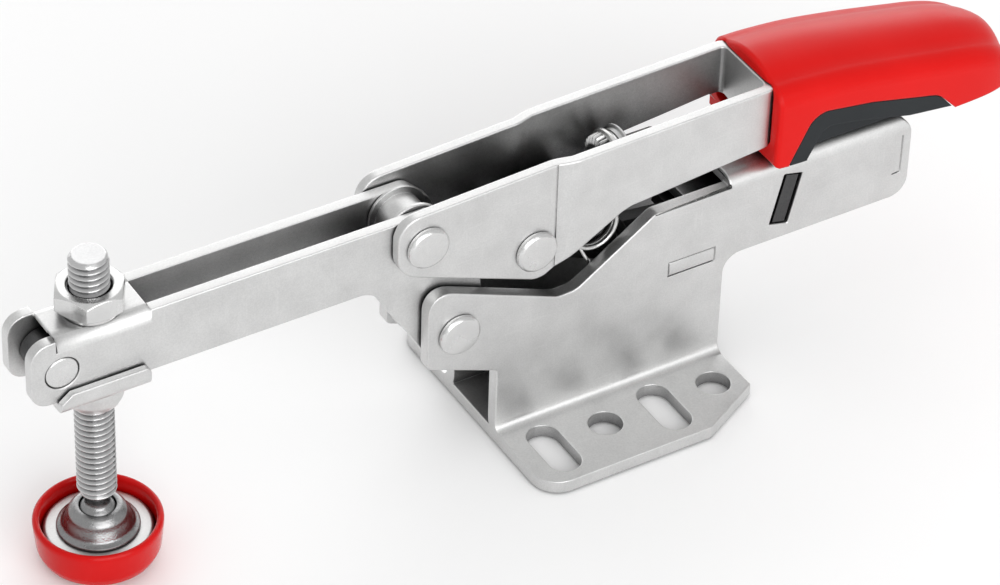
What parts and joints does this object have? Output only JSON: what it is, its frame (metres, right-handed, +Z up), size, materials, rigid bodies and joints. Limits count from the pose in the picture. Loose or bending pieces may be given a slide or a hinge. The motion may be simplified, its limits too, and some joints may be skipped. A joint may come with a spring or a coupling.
{
  "type": "horizontal toggle clamp",
  "caption": "Horizontal toggle clamp: stamped steel base, forked arm with screw spindle and rubber foot, moulded handle, knurled force screw.",
  "frame": {"origin": "middle of the flange's mounting face, on the plane of symmetry", "axes": "+X from the clamping foot towards the grip, +Y across to the far side, +Z up from the mounting face"},
  "size_m": [0.2258, 0.0604, 0.0749],
  "materials": {
    "zinc_plated_steel": "satin, tumbled zinc plate",
    "dark_steel": "dull, in shadow",
    "bright_steel": "bright turned steel",
    "red_moulding": "glossy",
    "dark_grey_moulding": "fine matt grain"
  },
  "bodies": {
    "base": {"base_body": "zinc_plated_steel", "guide_plate": "zinc_plated_steel", "arm_pivot_rivet": "zinc_plated_steel", "arm_pivot_bush": "zinc_plated_steel"},
    "lock": {"lock_plate": "zinc_plated_steel"},
    "slide": {"slide_rail": "dark_steel", "slide_pin": "dark_steel"},
    "arm": {"clamp_arm": "zinc_plated_steel", "tip_pin": "zinc_plated_steel", "tip_spacer": "zinc_plated_steel", "handle_pivot_bush": "zinc_plated_steel", "flanged_nut": "dark_steel"},
    "nut": {"hex_nut": "zinc_plated_steel"},
    "spindle": {"spindle": "zinc_plated_steel"},
    "foot": {"swivel_cup": "zinc_plated_steel", "pad_disc": "zinc_plated_steel", "pad_cap": "red_moulding"},
    "handle": {"handle_bars": "zinc_plated_steel", "grip_shell": "red_moulding", "grip_insert": "dark_grey_moulding", "screw_bracket": "zinc_plated_steel", "lock_ring": "zinc_plated_steel", "handle_pivot_rivet": "zinc_plated_steel", "link_pivot_rivet": "zinc_plated_steel", "link_spacer_near": "zinc_plated_steel", "link_spacer_far": "zinc_plated_steel"},
    "force_turn": {"force_screw": "bright_steel"},
    "wedge": {"stop_wedge": "dark_steel"},
    "link": {"link_plate_near": "dark_steel", "link_plate_far": "dark_steel", "link_stub_near": "dark_steel", "link_stub_far": "dark_steel", "torsion_spring_near": "bright_steel", "torsion_spring_far": "bright_steel", "spring_pin": "dark_steel"}
  },
  "joints": [
    {"name": "arm_fold", "type": "hinge", "parent": "base", "child": "arm", "pos_m": [-0.036, 0, 0.0324], "axis": [0, 1, 0], "range_deg": [0, 88]},
    {"name": "handle_fold", "type": "hinge", "parent": "arm", "child": "handle", "pos_m": [-0.0431, 0, 0.0564], "axis": [0, 1, 0], "range_deg": [-153, 0]},
    {"name": "link_fold", "type": "hinge", "parent": "handle", "child": "link", "pos_m": [-0.0181, 0, 0.0458], "axis": [0, 1, 0], "range_deg": [0, 147.2]},
    {"name": "slide_adjust", "type": "slide", "parent": "base", "child": "slide", "axis": [0.972, 0, -0.2351], "range_m": [0, 0.006], "stiffness_N_per_m": 300},
    {"name": "lock_tilt", "type": "hinge", "parent": "base", "child": "lock", "pos_m": [0.0415, 0, 0.03695], "axis": [0, 1, 0], "range_deg": [-3, 3], "stiffness_Nm_per_rad": 0.05},
    {"name": "nut_turn", "type": "hinge", "parent": "arm", "child": "nut", "pos_m": [-0.1115, 0, 0.0619], "axis": [0, 0, 1], "continuous": true},
    {"name": "spindle_height", "type": "slide", "parent": "arm", "child": "spindle", "axis": [0, 0, 1], "range_m": [-0.006, 0.012]},
    {"name": "foot_tilt", "type": "hinge", "parent": "spindle", "child": "foot", "pos_m": [-0.1115, 0, 0.0092], "axis": [0, 1, 0], "range_deg": [-10, 10]},
    {"name": "force_screw_turn", "type": "hinge", "parent": "handle", "child": "force_turn", "pos_m": [-0.0001, 0, 0.0553], "axis": [1, 0, 0], "range_deg": [-360, 360]},
    {"name": "wedge_slide", "type": "slide", "parent": "handle", "child": "wedge", "axis": [1, 0, 0], "range_m": [-0.001, 0.001]}
  ],
  "couplings": [
    {"joint": "handle_fold", "follows": "arm_fold", "ratio": -1.7358},
    {"joint": "link_fold", "follows": "arm_fold", "ratio": 1.6722},
    {"joint": "force_screw_turn", "follows": "wedge_slide", "rad_per_m": 6283.2}
  ]
}
